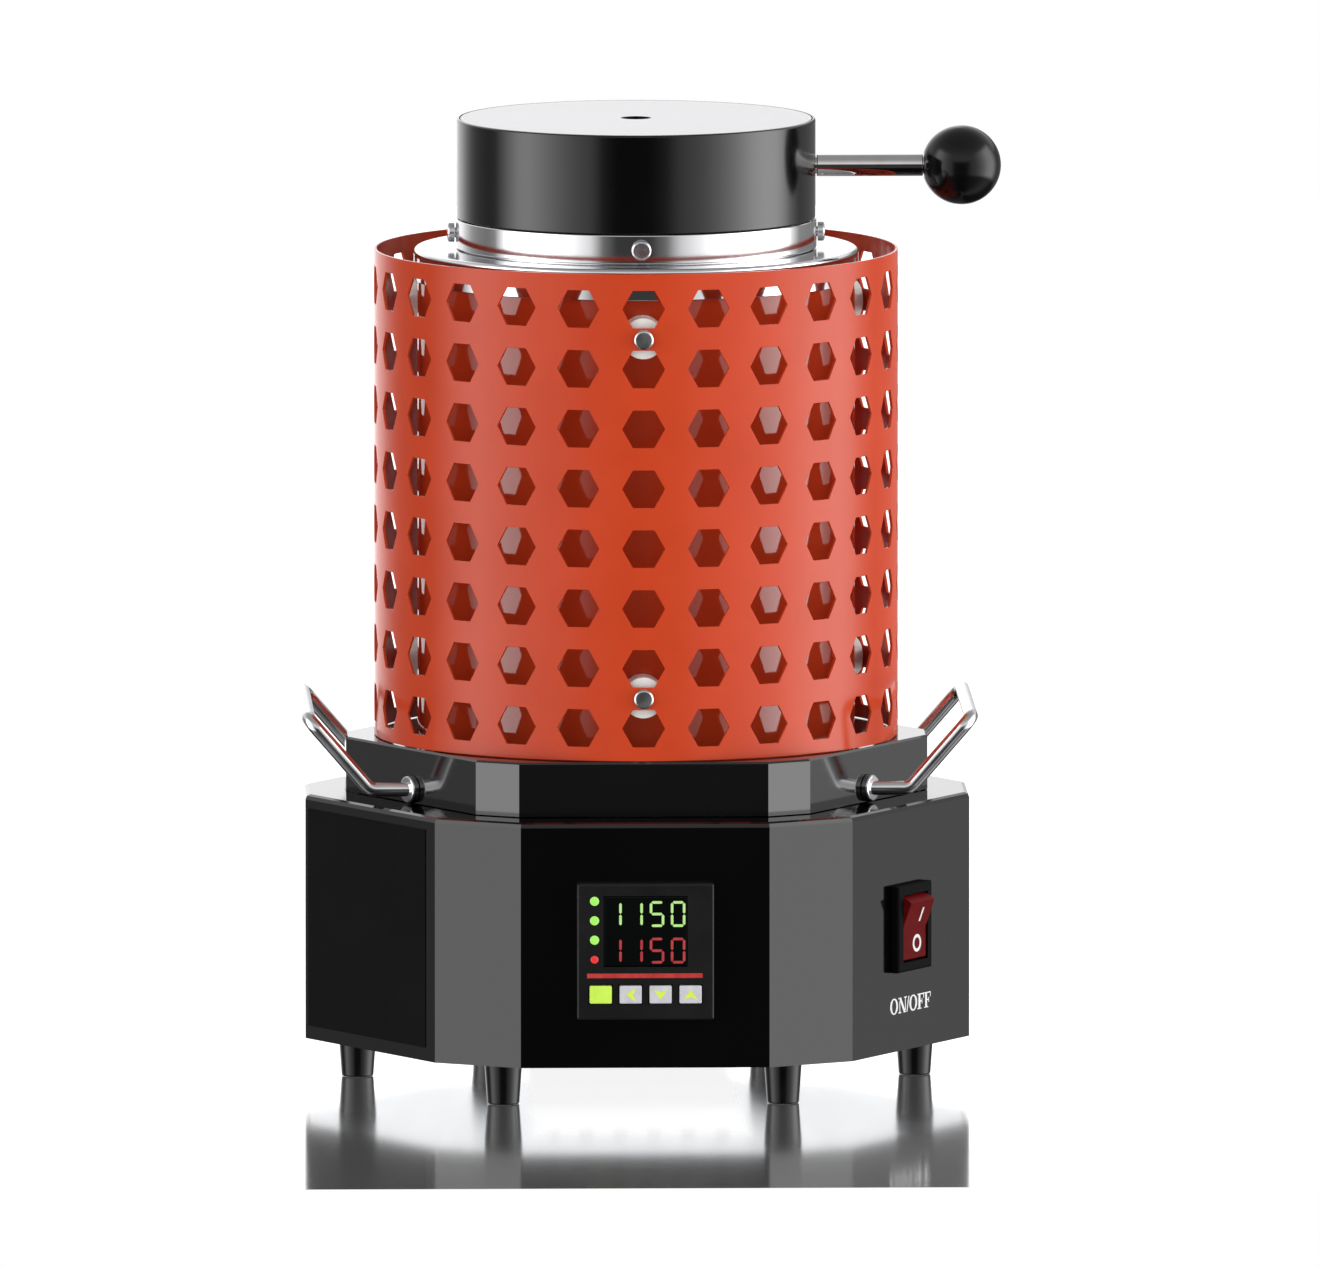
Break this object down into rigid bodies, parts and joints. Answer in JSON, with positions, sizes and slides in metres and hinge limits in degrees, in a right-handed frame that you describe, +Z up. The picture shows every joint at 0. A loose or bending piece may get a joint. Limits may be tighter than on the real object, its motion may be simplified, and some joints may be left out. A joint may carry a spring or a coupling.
{
  "type": "electric gold melting furnace",
  "caption": "Bench-top electric melting furnace: perforated round shell on a twelve-sided housing with a temperature controller, rocker switch, side handles and a lift-off lid with a ball knob.",
  "frame": {"origin": "on the floor, midway between the outer ends of the left handle and the ball knob, in the plane of the furnace's own axis, which stands 4.75 mm to the left of it", "axes": "+Z up along the furnace's height; +Y from the front, with the controller, to the back; +X to the viewer's right, along the lid's side rod"},
  "size_m": [0.2475, 0.2309, 0.339],
  "materials": {
    "black_paint": "gloss black stoved paint",
    "orange_paint": "semi-gloss orange-red stoved paint",
    "polished_steel": "mirror-polished stainless steel",
    "satin_steel": "satin steel",
    "chrome": "chromed steel",
    "zinc_plated_steel": "zinc-plated steel",
    "aluminium": "extruded aluminium",
    "black_plastic": "black moulded plastic",
    "foot_plastic": "black moulded plastic",
    "smoked_window": "smoked clear plastic",
    "green_button": "green plastic key",
    "silver_button": "silver-grey plastic key",
    "red_rocker": "red translucent plastic",
    "ceramic_fibre": "white ceramic fibre",
    "ceramic": "cream fired ceramic",
    "graphite": "dark graphite",
    "resistance_wire": "oxidised resistance wire"
  },
  "bodies": {
    "root": {"lower_housing": "black_paint", "bottom_plate": "zinc_plated_steel", "upper_plinth": "black_paint", "inner_drum": "orange_paint", "drum_flange": "polished_steel", "collar_ring": "polished_steel", "perforated_shell": "orange_paint", "insulation_base": "ceramic_fibre", "insulation_sleeve": "ceramic_fibre", "mouth_ring": "ceramic", "chamber_tube": "ceramic", "chamber_floor": "ceramic", "crucible_pad": "ceramic", "heating_coil": "resistance_wire", "lead_bushing_lower": "ceramic", "lead_bushing_upper": "ceramic", "heater_terminals": "ceramic", "thermocouple": "zinc_plated_steel", "thermocouple_gland": "zinc_plated_steel", "handle_left": "polished_steel", "handle_right": "polished_steel", "controller_bezel": "black_plastic", "controller_case": "black_plastic", "controller_window": "smoked_window", "controller_clip": "black_plastic", "controller_terminals": "zinc_plated_steel", "switch_case": "black_plastic", "power_inlet": "black_plastic", "relay_heatsink": "aluminium", "relay": "black_plastic", "terminal_block": "ceramic", "foot_1": "foot_plastic", "foot_2": "foot_plastic", "foot_3": "foot_plastic", "foot_4": "foot_plastic", "foot_5": "foot_plastic", "foot_6": "foot_plastic", "collar_bolt_1": "polished_steel", "collar_bolt_2": "polished_steel", "collar_bolt_3": "polished_steel", "collar_bolt_4": "polished_steel", "shell_spacer_1": "polished_steel", "shell_spacer_2": "polished_steel", "shell_spacer_3": "polished_steel", "shell_spacer_4": "polished_steel", "shell_spacer_5": "polished_steel", "shell_spacer_6": "polished_steel"},
    "lid": {"lid_shell": "black_paint", "lid_top_plate": "satin_steel", "lid_insulation": "ceramic_fibre", "lid_rod": "chrome", "lid_rod_nut": "zinc_plated_steel", "ball_knob": "black_plastic"},
    "crucible": {"crucible": "graphite"},
    "rocker": {"rocker": "red_rocker"},
    "button_set": {"button_set": "green_button"},
    "button_left": {"button_left": "silver_button"},
    "button_down": {"button_down": "silver_button"},
    "button_up": {"button_up": "silver_button"}
  },
  "joints": [
    {"name": "lid_lift", "type": "slide", "parent": "root", "child": "lid", "axis": [0, 0, 1], "range_m": [0, 0.3]},
    {"name": "crucible_lift", "type": "slide", "parent": "root", "child": "crucible", "axis": [0, 0, 1], "range_m": [0, 0.18]},
    {"name": "rocker_tilt", "type": "hinge", "parent": "root", "child": "rocker", "pos_m": [0.08856, -0.05699, 0.0589], "axis": [-0.5, -0.866, 0], "range_deg": [0, 20]},
    {"name": "button_set_press", "type": "slide", "parent": "root", "child": "button_set", "axis": [0, 1, 0], "range_m": [0, 0.0008], "stiffness_N_per_m": 400},
    {"name": "button_left_press", "type": "slide", "parent": "root", "child": "button_left", "axis": [0, 1, 0], "range_m": [0, 0.0008], "stiffness_N_per_m": 400},
    {"name": "button_down_press", "type": "slide", "parent": "root", "child": "button_down", "axis": [0, 1, 0], "range_m": [0, 0.0008], "stiffness_N_per_m": 400},
    {"name": "button_up_press", "type": "slide", "parent": "root", "child": "button_up", "axis": [0, 1, 0], "range_m": [0, 0.0008], "stiffness_N_per_m": 400}
  ],
  "couplings": [
    {"joint": "crucible_lift", "follows": "lid_lift", "ratio": 0.6}
  ]
}
